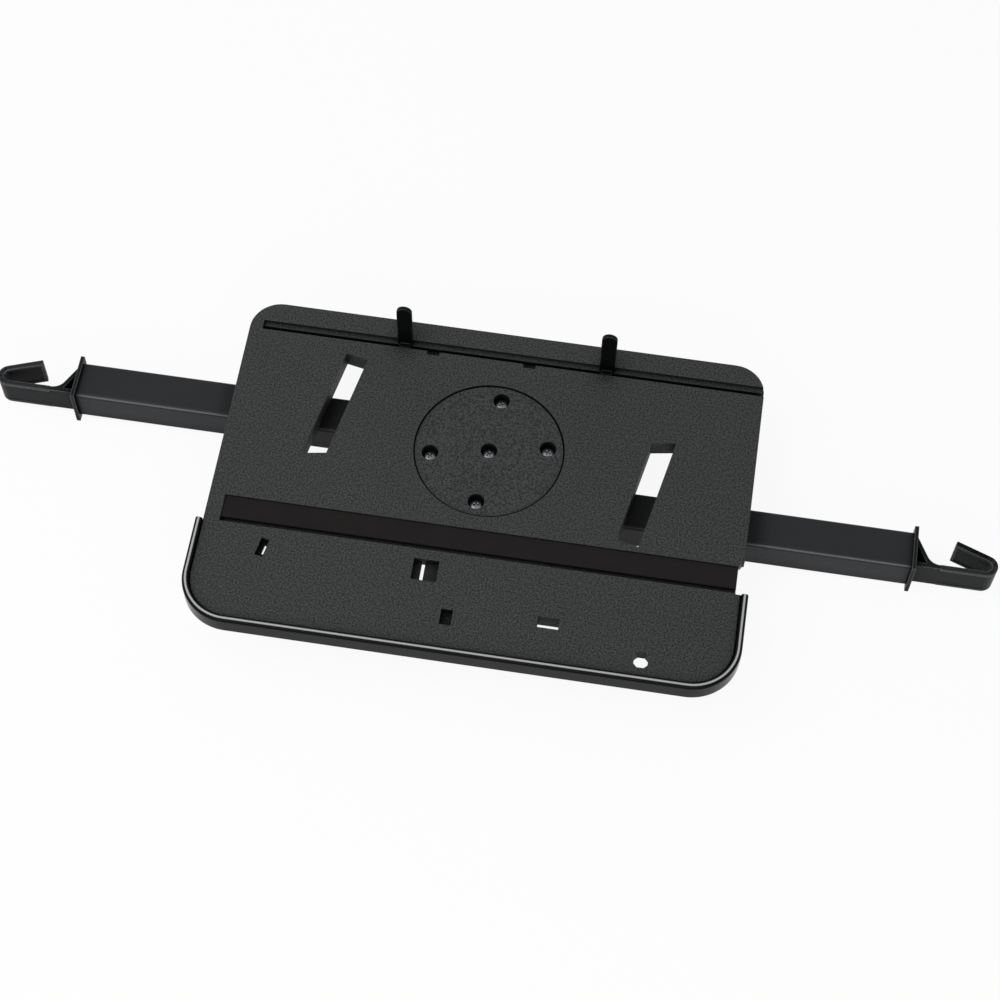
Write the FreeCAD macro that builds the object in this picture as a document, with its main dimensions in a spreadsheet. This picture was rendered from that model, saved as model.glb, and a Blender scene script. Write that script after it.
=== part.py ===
import FreeCAD, Part
import os
import re
import Sketcher

# Swivelling tray that hangs between two head restraints on a pair of telescopic hook arms.
# Frame: origin on the swivel axis at the flat underside of the arm housing, +X along the arms,
# +Y towards the back edge of the tray, +Z up through the tray's face. Millimetres throughout.

doc = FreeCAD.newDocument("player_tray")

# Driving dimensions
SIZES = {
    # tray moulding
    "face_height": 40.0,        # tray face above the housing's underside
    "tray_width": 297.0,
    "tray_back": 77.5,          # swivel axis to back edge
    "tray_front": 123.6,        # swivel axis to front edge of the plate
    "tray_wall": 2.6,
    "skirt_depth": 8.0,
    "skirt_wall": 2.2,
    "back_corner": 17.6,
    "front_corner": 23.5,
    "face_round": 0.8,
    "rib_depth": 6.5,
    "rib_wall": 1.8,
    "side_rib_inset": 26.5,
    "front_rib_inset": 32.5,
    "mid_rib_out": 66.0,
    # strap slots, one each side, turned about the hub
    "slot_out": 90.0,
    "slot_shift": 14.5,
    "slot_rise": 1.3,
    "slot_width": 12.8,
    "slot_length": 67.0,
    "slot_lean": 10.7,
    "slot_skew": 9.5,
    "well_wall": 2.0,
    "well_depth": 11.5,
    # groove for the two stops, along the back edge
    "groove_inset": 18.6,       # back edge to the groove's front wall
    "groove_slot": 3.0,
    "groove_ledge": 3.0,
    "ledge_depth": 1.9,
    "groove_lip": 2.8,
    "groove_undercut": 2.4,
    "groove_floor": 5.6,
    "groove_bar": 7.2,          # depth of the bar that carries the groove
    "bar_wall": 2.2,
    "groove_margin": 7.5,
    "notch_left": 41.3,
    "notch_right": 14.3,
    "notch_width": 7.2,
    "end_step": 1.6,            # small step in the side at the groove's open end
    # stops
    "stop_spread": 58.3,
    "stop_width": 8.8,
    "stop_height": 34.6,
    "toe_width": 6.4,
    "slide_gap": 0.25,
    # grip strip and its channel
    "channel_back": 50.6,       # swivel axis to the channel's back wall
    "strip_width": 13.0,
    "strip_thick": 1.2,
    "strip_gap": 0.2,
    "channel_gap": 3.3,
    "channel_depth": 2.2,
    "gap_depth": 3.6,
    "channel_bar": 5.2,
    "channel_margin": 9.1,
    "side_notch": 3.0,
    "notch_lead": 4.0,
    # moulded windows in the front of the tray
    "window_depth": 5.0,
    "window_floor": 2.0,
    "window_wall": 1.8,
    # front rim
    "rim_wall": 4.0,
    "rim_setback": 0.6,
    "rim_depth": 9.9,
    "rim_rise": 2.2,
    "rim_foot": 8.0,
    "rim_boss": 3.4,
    "rim_screw_inset": 4.5,
    "rim_screw_side": 92.0,
    "rim_screw_inner": 40.0,
    "rim_screw_outer": 118.0,
    "rim_shank": 1.45,
    "rim_head": 2.7,
    "rim_head_depth": 1.4,
    "rim_screw_length": 5.6,
    # swivel hub
    "disc_radius": 41.75,
    "disc_body": 38.6,
    "ring_gap": 0.6,
    "disc_sink": 0.6,
    "disc_flange": 3.0,
    "swivel_gap": 0.3,
    "ledge_wall": 2.6,
    "hub_ring": 50.0,
    "washer_thick": 0.8,
    "washer_margin": 1.0,
    "hub_spigot": 1.0,
    "screw_circle": 33.0,
    "screw_turn": 10.8,
    "screw_turn_back": 86.3,
    "bore_radius": 4.7,
    "bore_depth": 6.4,
    "head_radius": 3.9,
    "head_height": 2.2,
    "shank_radius": 1.7,
    "shank_length": 6.2,
    "screw_gap": 0.1,
    # arm housing
    "block_length": 132.0,
    "block_wall": 6.8,
    "block_corner": 4.0,
    "roof_wall": 2.4,
    "arm_gap": 0.4,
    "cover_thick": 2.8,
    "gusset_out": 20.0,
    "gusset_wall": 2.4,
    "gusset_reach": 11.0,
    "cover_screw_inset": 10.0,
    "cover_shank": 1.5,
    "cover_head": 3.0,
    "cover_head_depth": 1.6,
    "cover_screw_length": 11.0,
    # telescopic arms
    "arm_size": 22.6,
    "arm_wall": 2.2,
    "arm_corner": 2.4,
    "arm_drop": 25.5,           # tray face to the arms' centre line
    "arm_offset": 17.5,         # swivel axis to each arm's centre line
    "arm_reach": 240.6,
    "arm_tail": 58.0,
    "arm_travel": 85.0,         # how far an arm pulls out from here
    "plug_cap": 4.5,
    "plug_length": 12.0,
    "plug_gap": 0.2,
    "plug_inset": 0.2,
    "nub_width": 6.0,
    "nub_drop": 2.0,
    "nub_gap": 0.7,
    # brake leaves under the arms
    "leaf_length": 30.0,
    "leaf_width": 10.0,
    "leaf_thick": 0.6,
    "leaf_gap": 0.3,
    "leaf_pocket": 1.7,
    "leaf_out": 46.0,
    # hooks
    "flange_thick": 2.2,
    "flange_lip": 2.3,
    "spigot_length": 22.0,
    "hook_height": 18.7,
    "hook_thick": 2.6,
    "hook_inset": 2.3,
    "hook_reach": 288.2,
    "hook_tip": 264.6,
    "hook_slope": 20.0,
    "bend_inner": 3.6,
    "gusset_run": 13.5,
    "gusset_rise": 16.3,
    "knee_run": 6.5,
    "knee_rise": 4.2,
    "relief_run": 6.2,
    "relief_rise": 11.6,
    "relief_web": 4.0,
    "hook_screw_back": 10.6,
    "hook_shank": 1.5,
    "hook_head": 3.0,
    "hook_head_height": 1.6,
    "hook_screw_length": 9.0,
}

sheet = doc.addObject("Spreadsheet::Sheet", "Sizes")
for row, (alias, number) in enumerate(SIZES.items(), start=1):
    sheet.set(f"A{row}", alias)
    sheet.set(f"B{row}", str(number))
    sheet.setAlias(f"B{row}", alias)
doc.recompute()

WORD = re.compile(r"[a-z][a-z_]+")
FUNCTIONS = ("cos", "sin", "tan")


def on_sheet(formula):
    """The formula with each size name pointing at its cell."""
    return WORD.sub(lambda word: word[0] if word[0] in FUNCTIONS else "Sizes." + word[0], formula)


def value(formula):
    return float(sheet.evalExpression(formula))


def bind(thing, name, formula):
    thing.setExpression(name, on_sheet(formula))


# Levels and lines that several pieces share
FACE = "face_height"
PLATE_LOW = "(face_height - tray_wall)"
SIDE = "(tray_width / 2)"
SKIRT_LOW = "(face_height - skirt_depth)"
GROOVE_FRONT = "(tray_back - groove_inset)"
GROOVE_BACK = f"({GROOVE_FRONT} + groove_slot + groove_ledge)"
CHANNEL_FRONT = "(channel_back + strip_width + strip_gap + channel_gap)"
RIM_START = f"({CHANNEL_FRONT} + rim_setback)"
DISC_TOP = "(face_height - disc_sink)"
FLANGE_LOW = f"({DISC_TOP} - disc_flange)"
LEDGE_TOP = f"({FLANGE_LOW} - swivel_gap)"
RING_LOW = f"({LEDGE_TOP} - ledge_wall)"
WASHER_LOW = f"({RING_LOW} - swivel_gap - washer_thick)"
DISC_LOW = f"({WASHER_LOW} - hub_spigot)"
HEAD_SEAT = f"({DISC_TOP} - bore_depth)"
ARM_MID = "(face_height - arm_drop)"
ARM_HALF = "(arm_size / 2)"
ARM_TOP = f"({ARM_MID} + {ARM_HALF})"
ARM_LOW = f"({ARM_MID} - {ARM_HALF})"
ROOF_LOW = f"({ARM_TOP} + arm_gap)"
ROOF_TOP = f"({ROOF_LOW} + roof_wall)"
COVER_TOP = f"({ARM_LOW} - arm_gap)"
COVER_LOW = f"({COVER_TOP} - cover_thick)"
BLOCK_END = "(block_length / 2)"
BLOCK_IN = f"(arm_offset - {ARM_HALF} - arm_gap)"
BLOCK_OUT = f"(arm_offset + {ARM_HALF} + arm_gap)"
BLOCK_SIDE = f"({BLOCK_OUT} + block_wall)"
PLUG_HALF = f"({ARM_HALF} - arm_wall - plug_gap)"

SCREW_SPOTS = [
    ("0", "0"),
    ("screw_circle * cos(screw_turn)", "screw_circle * sin(screw_turn)"),
    ("screw_circle * cos(screw_turn_back)", "screw_circle * sin(screw_turn_back)"),
    ("-screw_circle * cos(screw_turn)", "-screw_circle * sin(screw_turn)"),
    ("-screw_circle * cos(screw_turn_back)", "-screw_circle * sin(screw_turn_back)"),
]
COVER_SPOTS = [
    (f"{x_sign} * ({BLOCK_END} - cover_screw_inset)", f"{y_sign} * ({BLOCK_OUT} + block_wall / 2)")
    for x_sign in (-1, 1)
    for y_sign in (-1, 1)
]
RIM_SPOTS = [(f"{sign} * ({SIDE} - rim_screw_inset)", "-rim_screw_side") for sign in (-1, 1)]
RIM_SPOTS += [
    (f"{sign} * {along}", "-(tray_front - rim_screw_inset)")
    for along in ("rim_screw_inner", "rim_screw_outer")
    for sign in (-1, 1)
]


# Sketches
def new_body(label):
    body = doc.addObject("PartDesign::Body", label)
    body.Label = label
    return body


def new_sketch(body, name, plane, offset):
    """A sketch on one of the body's own planes; XZ sketches are offset towards -Y."""
    sketch = body.newObject("Sketcher::SketchObject", name)
    support = next(item for item in body.Origin.OriginFeatures if item.Role == plane)
    sketch.AttachmentSupport = [(support, "")]
    sketch.MapMode = "FlatFace"
    bind(sketch, "AttachmentOffset.Base.z", offset)
    return sketch


def hold(sketch, kind, geometry, point, formula):
    index = sketch.addConstraint(Sketcher.Constraint(kind, -1, 1, geometry, point, value(formula)))
    bind(sketch, f"Constraints[{index}]", formula)


def arc_between(start, end, turn, axis, centre_line):
    """An arc from start to end whose centre lies on the line x or y = centre_line."""
    middle = (start + end) * 0.5
    across = FreeCAD.Vector(start.y - end.y, end.x - start.x, 0)
    step = (centre_line - getattr(middle, axis)) / getattr(across, axis)
    centre = middle + across * step
    circle = Part.Circle(centre, FreeCAD.Vector(0, 0, 1), (start - centre).Length)
    first, last = (start, end) if turn > 0 else (end, start)
    return Part.ArcOfCircle(circle, circle.parameter(first), circle.parameter(last))


def draw(sketch, corners, closed=True):
    """Lines and arcs through the corners. A corner is (x, y), or (x, y, turn, axis, centre)
    where an arc leaves it: turn is 1 for anticlockwise, and its centre lies on axis = centre."""
    spots = [FreeCAD.Vector(value(corner[0]), value(corner[1]), 0) for corner in corners]
    count = len(corners)
    pieces = []
    for index, corner in enumerate(corners if closed else corners[:-1]):
        start = spots[index]
        end = spots[(index + 1) % count]
        turn = corner[2] if len(corner) > 2 else 1
        if len(corner) > 2:
            shape = arc_between(start, end, turn, corner[3], value(corner[4]))
        else:
            shape = Part.LineSegment(start, end)
        number = sketch.addGeometry(shape, False)
        pieces.append((number, 1 if turn > 0 else 2, 2 if turn > 0 else 1))
    links = zip(pieces, pieces[1:] + pieces[:1]) if closed else zip(pieces, pieces[1:])
    for (number, _, tail), (following, head, _) in links:
        sketch.addConstraint(Sketcher.Constraint("Coincident", number, tail, following, head))
    for (number, head, _), corner in zip(pieces, corners):
        hold(sketch, "DistanceX", number, head, corner[0])
        hold(sketch, "DistanceY", number, head, corner[1])
        if len(corner) > 2:
            hold(sketch, "DistanceX" if corner[3] == "x" else "DistanceY", number, 3, corner[4])
    if not closed:
        number, _, tail = pieces[-1]
        hold(sketch, "DistanceX", number, tail, corners[-1][0])
        hold(sketch, "DistanceY", number, tail, corners[-1][1])


def outline(body, name, plane, offset, *loops):
    sketch = new_sketch(body, name, plane, offset)
    for corners in loops:
        draw(sketch, corners)
    return sketch


def circles(body, name, offset, rounds):
    sketch = new_sketch(body, name, "XY_Plane", offset)
    for x, y, radius in rounds:
        centre = FreeCAD.Vector(value(x), value(y), 0)
        circle = Part.Circle(centre, FreeCAD.Vector(0, 0, 1), value(radius))
        number = sketch.addGeometry(circle, False)
        hold(sketch, "DistanceX", number, 3, x)
        hold(sketch, "DistanceY", number, 3, y)
        index = sketch.addConstraint(Sketcher.Constraint("Radius", number, value(radius)))
        bind(sketch, f"Constraints[{index}]", radius)
    return sketch


def box(low_x, low_y, high_x, high_y):
    return [(low_x, low_y), (high_x, low_y), (high_x, high_y), (low_x, high_y)]


# Features
def pad(body, name, sketch, length):
    feature = body.newObject("PartDesign::Pad", name)
    feature.Profile = sketch
    bind(feature, "Length", length)
    doc.recompute()
    return feature


def pocket(body, name, sketch, length, upward=False):
    before = body.Shape.Volume
    feature = body.newObject("PartDesign::Pocket", name)
    feature.Profile = sketch
    feature.Reversed = upward
    bind(feature, "Length", length)
    doc.recompute()
    if body.Shape.Volume >= before:
        raise RuntimeError(f"{body.Label}: {name} cuts nothing")
    return feature


def revolve(body, name, sketch):
    feature = body.newObject("PartDesign::Revolution", name)
    feature.Profile = sketch
    feature.ReferenceAxis = (sketch, ["V_Axis"])
    feature.Angle = 360
    doc.recompute()
    return feature


def sweep(body, name, profile, path):
    feature = body.newObject("PartDesign::AdditivePipe", name)
    feature.Profile = profile
    feature.Spine = (path, [f"Edge{n + 1}" for n in range(path.GeometryCount)])
    doc.recompute()
    return feature


def edges_of(body, wanted):
    """Names of the edges of the body that pass the test."""
    edges = body.Tip.Shape.Edges
    return [f"Edge{number}" for number, edge in enumerate(edges, start=1) if wanted(edge)]


def fillet(body, name, radius, wanted):
    base = body.Tip
    names = edges_of(body, wanted)
    if not names:
        raise RuntimeError(f"{body.Label}: {name} finds no edge")
    feature = body.newObject("PartDesign::Fillet", name)
    feature.Base = (base, names)
    bind(feature, "Radius", radius)
    doc.recompute()
    return feature


NEAR = 0.01


def runs_along(edge, axis):
    """True for a straight edge along the given axis."""
    if not isinstance(edge.Curve, (Part.Line, Part.LineSegment)):
        return False
    ends = [vertex.Point for vertex in edge.Vertexes]
    step = ends[1] - ends[0]
    return abs(abs(getattr(step, axis)) - step.Length) < NEAR


def upright_at(edge, spots):
    """True for an upright edge over one of the given corners."""
    if not runs_along(edge, "z"):
        return False
    point = edge.Vertexes[0].Point
    return any(abs(point.x - x) < NEAR and abs(point.y - y) < NEAR for x, y in spots)


def corner_pair(x, y):
    """The two corners at plus and minus x, as numbers."""
    return [(value(x), value(y)), (-value(x), value(y))]


# Tray plate
def slot_corners(sign, grow="0"):
    """The slanted slot on one side; grow widens it all round for the wall of its well."""
    half = f"(slot_width / 2 + {grow})"
    reach = f"(slot_length / 2 + {grow})"
    ends = []
    for end, skew in ((1, "slot_skew"), (-1, "-slot_lean")):
        middle_x = f"(slot_out + {end} * {reach} * sin(slot_lean))"
        middle_y = f"(-slot_shift + {end} * {reach} * cos(slot_lean))"
        along = f"{half} / cos({skew} + slot_lean)"
        for turn in (-end, end):
            x = f"{sign} * ({middle_x} + {turn} * {along} * cos({skew}))"
            y = f"slot_rise + {sign} * ({middle_y} + {turn} * {along} * sin({skew}))"
            ends.append((x, y))
    return ends


# Windows: centre, width, length and lean of each opening in the front of the tray
SLANTED_WINDOW = ("-113.0", "-79.6", "4.6", "11.0", "slot_lean")
LATCH_WINDOW = ("-22.8", "-79.5", "14.0", "12.8", "0")
BLIND_WINDOW = ("-7.0", "-105.6", "6.4", "9.2", "0")
WIDE_WINDOW = ("47.7", "-100.5", "11.7", "6.4", "0")
EIGHT_SIDED = ("99.7", "-114.3", "7.6", "9.0")
SLANTED_SLIT = ("-112.3", "-78.6", "1.8", "6.0", "slot_lean")
LATCH_SLIT = ("-24.7", "-79.5", "1.9", "12.8", "0")


def window_corners(window, grow="0"):
    """A rectangle about the window's centre, leaning to the right."""
    x, y, width, length, lean = window
    half = f"({width} / 2 + {grow})"
    reach = f"({length} / 2 + {grow})"
    return [
        (
            f"{x} + {a} * {half} * cos({lean}) + {b} * {reach} * sin({lean})",
            f"{y} - {a} * {half} * sin({lean}) + {b} * {reach} * cos({lean})",
        )
        for a, b in ((-1, -1), (1, -1), (1, 1), (-1, 1))
    ]


def eight_corners(window):
    """A rectangle with its four corners cut off."""
    x, y, width, length = window
    half, reach = f"{width} / 2", f"{length} / 2"
    cut = f"{width} / 4"
    return [
        (f"{x} - {half} + {cut}", f"{y} - {reach}"),
        (f"{x} + {half} - {cut}", f"{y} - {reach}"),
        (f"{x} + {half}", f"{y} - {reach} + {cut}"),
        (f"{x} + {half}", f"{y} + {reach} - {cut}"),
        (f"{x} + {half} - {cut}", f"{y} + {reach}"),
        (f"{x} - {half} + {cut}", f"{y} + {reach}"),
        (f"{x} - {half}", f"{y} + {reach} - {cut}"),
        (f"{x} - {half}", f"{y} - {reach} + {cut}"),
    ]


def hang_below(body, name, depth, *loops):
    """Walls under the plate, from the given depth below the face up into the plate."""
    sketch = outline(body, name + "_outline", "XY_Plane", f"{FACE} - {depth}", *loops)
    return pad(body, name, sketch, f"{depth} - tray_wall / 2")


def cut_from_face(body, name, depth, *loops):
    sketch = outline(body, name + "_outline", "XY_Plane", FACE, *loops)
    return pocket(body, name, sketch, depth)


def cut_along_tray(body, name, margin, corners):
    """A groove of constant section, open at the right side and closed at the left margin."""
    sketch = outline(body, name + "_section", "YZ_Plane", SIDE, corners)
    return pocket(body, name, sketch, f"tray_width - {margin}")


def tray_corners(inset):
    """The tray's plan: a rectangle with round corners, moved inwards by the inset."""
    side = f"({SIDE} - {inset})"
    front = f"(tray_front - {inset})"
    back = f"(tray_back - {inset})"
    front_x = f"({SIDE} - front_corner)"
    back_x = f"({SIDE} - back_corner)"
    return [
        (f"-{front_x}", f"-{front}"),
        (front_x, f"-{front}", 1, "x", front_x),
        (side, "-(tray_front - front_corner)"),
        (side, "tray_back - back_corner", 1, "x", back_x),
        (back_x, back),
        (f"-{back_x}", back, 1, "x", f"-{back_x}"),
        (f"-{side}", "tray_back - back_corner"),
        (f"-{side}", "-(tray_front - front_corner)", 1, "x", f"-{front_x}"),
    ]


def make_tray():
    body = new_body("tray_plate")
    plan = outline(body, "plan", "XY_Plane", SKIRT_LOW, tray_corners("0"))
    pad(body, "block", plan, "skirt_depth")
    face = value(FACE)
    fillet(
        body, "face_edge", "face_round",
        lambda edge: all(abs(vertex.Point.z - face) < NEAR for vertex in edge.Vertexes),
    )
    inside = outline(body, "inside", "XY_Plane", SKIRT_LOW, tray_corners("skirt_wall"))
    pocket(body, "hollow", inside, "skirt_depth - tray_wall", upward=True)

    hang_below(
        body, "groove_bar", "groove_bar",
        box(
            f"-({SIDE} - skirt_wall * 0.8)", f"{GROOVE_FRONT} - groove_undercut - bar_wall",
            f"{SIDE} - skirt_wall * 0.8", f"{GROOVE_BACK} + bar_wall",
        ),
    )
    hang_below(
        body, "channel_bar", "channel_bar",
        box(
            f"-({SIDE} - skirt_wall / 2)", f"-({CHANNEL_FRONT} + bar_wall)",
            f"{SIDE} - skirt_wall / 2", "-(channel_back - bar_wall)",
        ),
    )
    side_rib = f"({SIDE} - side_rib_inset)"
    front_rib = "(tray_front - front_rib_inset)"
    hang_below(
        body, "side_ribs", "rib_depth",
        *[
            box(
                f"{sign} * {side_rib} - rib_wall / 2", "-(tray_front - skirt_wall / 2)",
                f"{sign} * {side_rib} + rib_wall / 2", "tray_back - skirt_wall / 2",
            )
            for sign in (-1, 1)
        ],
    )
    hang_below(
        body, "front_rib", "rib_depth",
        box(
            f"-({SIDE} - skirt_wall / 2)", f"-({front_rib} + rib_wall / 2)",
            f"{SIDE} - skirt_wall / 2", f"-({front_rib} - rib_wall / 2)",
        ),
    )
    hang_below(
        body, "mid_ribs", "rib_depth",
        *[
            box(
                f"{sign} * mid_rib_out - rib_wall / 2", "-(tray_front - skirt_wall / 2)",
                f"{sign} * mid_rib_out + rib_wall / 2", f"-({CHANNEL_FRONT})",
            )
            for sign in (-1, 1)
        ],
    )
    hang_below(body, "wells", "well_depth", *[slot_corners(sign, "well_wall") for sign in (-1, 1)])
    hang_below(
        body, "window_cups", "(window_depth + window_floor)",
        *[
            window_corners(window, "window_wall")
            for window in (SLANTED_WINDOW, LATCH_WINDOW, BLIND_WINDOW, WIDE_WINDOW)
        ],
    )
    bosses = circles(body, "boss_rounds", SKIRT_LOW, [(x, y, "rim_boss") for x, y in RIM_SPOTS])
    pad(body, "rim_bosses", bosses, "skirt_depth - tray_wall / 2")
    ring = circles(body, "ring_round", RING_LOW, [("0", "0", "hub_ring")])
    pad(body, "hub_ring", ring, f"{FACE} - tray_wall / 2 - {RING_LOW}")

    sink = circles(body, "sink_round", FACE, [("0", "0", "disc_radius + ring_gap")])
    pocket(body, "disc_seat", sink, f"{FACE} - {LEDGE_TOP}")
    bore = circles(body, "bore_round", FACE, [("0", "0", "disc_body + swivel_gap")])
    pocket(body, "hub_bore", bore, f"{FACE} - {RING_LOW}")
    cut_from_face(body, "strap_slots", "well_depth", *[slot_corners(sign) for sign in (-1, 1)])
    cut_along_tray(
        body, "stop_groove", "groove_margin",
        [
            (GROOVE_FRONT, FACE),
            (GROOVE_FRONT, f"{FACE} - groove_lip"),
            (f"{GROOVE_FRONT} - groove_undercut", f"{FACE} - groove_lip"),
            (f"{GROOVE_FRONT} - groove_undercut", f"{FACE} - groove_floor"),
            (f"{GROOVE_FRONT} + groove_slot", f"{FACE} - groove_floor"),
            (f"{GROOVE_FRONT} + groove_slot", f"{FACE} - ledge_depth"),
            (GROOVE_BACK, f"{FACE} - ledge_depth"),
            (GROOVE_BACK, FACE),
        ],
    )
    cut_from_face(
        body, "stop_notches", "groove_lip",
        *[
            box(
                f"{spot} - notch_width / 2", f"{GROOVE_FRONT} - groove_undercut",
                f"{spot} + notch_width / 2", GROOVE_FRONT,
            )
            for spot in ("-notch_left", "notch_right")
        ],
    )
    cut_along_tray(
        body, "strip_channel", "channel_margin",
        [
            ("-channel_back", FACE),
            ("-channel_back", f"{FACE} - channel_depth"),
            (f"-({CHANNEL_FRONT} - channel_gap)", f"{FACE} - channel_depth"),
            (f"-({CHANNEL_FRONT} - channel_gap)", f"{FACE} - gap_depth"),
            (f"-{CHANNEL_FRONT}", f"{FACE} - gap_depth"),
            (f"-{CHANNEL_FRONT}", FACE),
        ],
    )
    cut_from_face(
        body, "side_notches", "skirt_depth",
        [
            (f"{SIDE} - side_notch", f"-{RIM_START}"),
            (SIDE, f"-{RIM_START}"),
            (SIDE, "-(channel_back - notch_lead)"),
            (f"{SIDE} - side_notch / 3", "-(channel_back - notch_lead)"),
            (f"{SIDE} - side_notch", "-channel_back"),
        ],
        box(f"{SIDE} - end_step", GROOVE_FRONT, SIDE, f"{GROOVE_FRONT} + groove_slot"),
    )
    cut_from_face(
        body, "cup_windows", "window_depth",
        *[window_corners(window) for window in (SLANTED_WINDOW, LATCH_WINDOW, BLIND_WINDOW)],
    )
    cut_from_face(
        body, "through_windows", "window_depth + window_floor",
        window_corners(WIDE_WINDOW), eight_corners(EIGHT_SIDED),
        window_corners(SLANTED_SLIT), window_corners(LATCH_SLIT),
    )
    pilots = circles(
        body, "pilot_rounds", SKIRT_LOW, [(x, y, "rim_shank + screw_gap / 2") for x, y in RIM_SPOTS]
    )
    pocket(body, "rim_pilots", pilots, "rim_screw_length - (rim_depth - skirt_depth)", upward=True)
    return body


# Front rim
def make_rim():
    """The lip round the front of the tray: one section drawn once and swept along the plate's edge."""
    body = new_body("front_rim")
    start_x = f"({SIDE} - front_corner)"
    bend_y = "-(tray_front - front_corner)"
    path = new_sketch(body, "edge_line", "XY_Plane", FACE)
    draw(
        path,
        [
            (SIDE, f"-{RIM_START}"),
            (SIDE, bend_y, -1, "x", start_x),
            (start_x, "-tray_front"),
            (f"-{start_x}", "-tray_front", -1, "x", f"-{start_x}"),
            (f"-{SIDE}", bend_y),
            (f"-{SIDE}", f"-{RIM_START}"),
        ],
        closed=False,
    )
    bead = f"({FACE} + rim_rise - rim_wall / 2)"
    section = outline(
        body, "section", "XZ_Plane", RIM_START,
        [
            (f"{SIDE} + rim_wall", bead, 1, "y", bead),
            (SIDE, bead),
            (SIDE, SKIRT_LOW),
            (f"{SIDE} - rim_foot", SKIRT_LOW),
            (f"{SIDE} - rim_foot", f"{FACE} - rim_depth"),
            (f"{SIDE} + rim_wall", f"{FACE} - rim_depth"),
        ],
    )
    sweep(body, "lip", section, path)
    rounds = circles(
        body, "hole_rounds", SKIRT_LOW, [(x, y, "rim_shank + screw_gap / 2") for x, y in RIM_SPOTS]
    )
    pocket(body, "screw_holes", rounds, "rim_depth - skirt_depth")
    heads = circles(
        body, "head_rounds", f"{FACE} - rim_depth",
        [(x, y, "rim_head + screw_gap / 2") for x, y in RIM_SPOTS],
    )
    pocket(body, "head_seats", heads, "rim_head_depth", upward=True)
    return body


# Grip strip
def make_strip():
    body = new_body("grip_strip")
    plan = outline(
        body, "plan", "XY_Plane", f"{FACE} - channel_depth",
        box(
            f"-({SIDE} - channel_margin - strip_gap)", "-(channel_back + strip_gap + strip_width)",
            f"{SIDE} - side_notch - strip_gap", "-(channel_back + strip_gap)",
        ),
    )
    pad(body, "strip", plan, "strip_thick")
    return body


# Stops
def make_stop(label, sign):
    """A round-topped finger on an L-shaped foot whose toe runs under the groove's lip."""
    body = new_body(label)
    middle = f"({sign} * stop_spread)"
    front = f"({GROOVE_FRONT} + groove_slot + slide_gap)"
    back = f"({GROOVE_BACK} - slide_gap)"
    foot_low = f"({FACE} - ledge_depth + slide_gap)"
    crown = f"({FACE} + stop_height - stop_width / 2)"
    finger = outline(
        body, "finger_outline", "XZ_Plane", f"-{back}",
        [
            (f"{middle} - stop_width / 2", foot_low),
            (f"{middle} + stop_width / 2", foot_low),
            (f"{middle} + stop_width / 2", crown, 1, "y", crown),
            (f"{middle} - stop_width / 2", crown),
        ],
    )
    pad(body, "finger", finger, f"{back} - {front}")
    toe_low = f"({FACE} - groove_floor + slide_gap)"
    toe_top = f"({FACE} - groove_lip - slide_gap)"
    neck_back = f"({GROOVE_FRONT} + groove_slot - slide_gap)"
    neck_front = f"({GROOVE_FRONT} + slide_gap)"
    foot_top = f"({FACE} - slide_gap)"
    foot = outline(
        body, "foot_section", "YZ_Plane", f"{middle} - toe_width / 2",
        [
            (f"{GROOVE_FRONT} - groove_undercut + slide_gap", toe_low),
            (neck_back, toe_low),
            (neck_back, foot_low),
            (back, foot_low),
            (back, foot_top),
            (neck_front, foot_top),
            (neck_front, toe_top),
            (f"{GROOVE_FRONT} - groove_undercut + slide_gap", toe_top),
        ],
    )
    pad(body, "foot", foot, "toe_width")
    return body


# Swivel hub
def make_disc():
    body = new_body("hub_disc")
    section = outline(
        body, "section", "XZ_Plane", "0",
        [
            ("0", DISC_LOW),
            ("disc_body", DISC_LOW),
            ("disc_body", FLANGE_LOW),
            ("disc_radius", FLANGE_LOW),
            ("disc_radius", f"{DISC_TOP} - face_round / 2"),
            ("disc_radius - face_round / 2", DISC_TOP),
            ("0", DISC_TOP),
        ],
    )
    revolve(body, "disc", section)
    seats = circles(body, "seat_rounds", DISC_TOP, [(x, y, "bore_radius") for x, y in SCREW_SPOTS])
    pocket(body, "head_seats", seats, "bore_depth")
    holes = circles(
        body, "hole_rounds", HEAD_SEAT, [(x, y, "shank_radius + screw_gap") for x, y in SCREW_SPOTS]
    )
    pocket(body, "screw_holes", holes, f"{HEAD_SEAT} - {DISC_LOW}")
    return body


def make_washer():
    body = new_body("swivel_washer")
    ring = circles(
        body, "ring", WASHER_LOW,
        [("0", "0", "hub_ring - washer_margin"), ("0", "0", "disc_body + washer_margin")],
    )
    pad(body, "washer", ring, "washer_thick")
    return body


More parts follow.
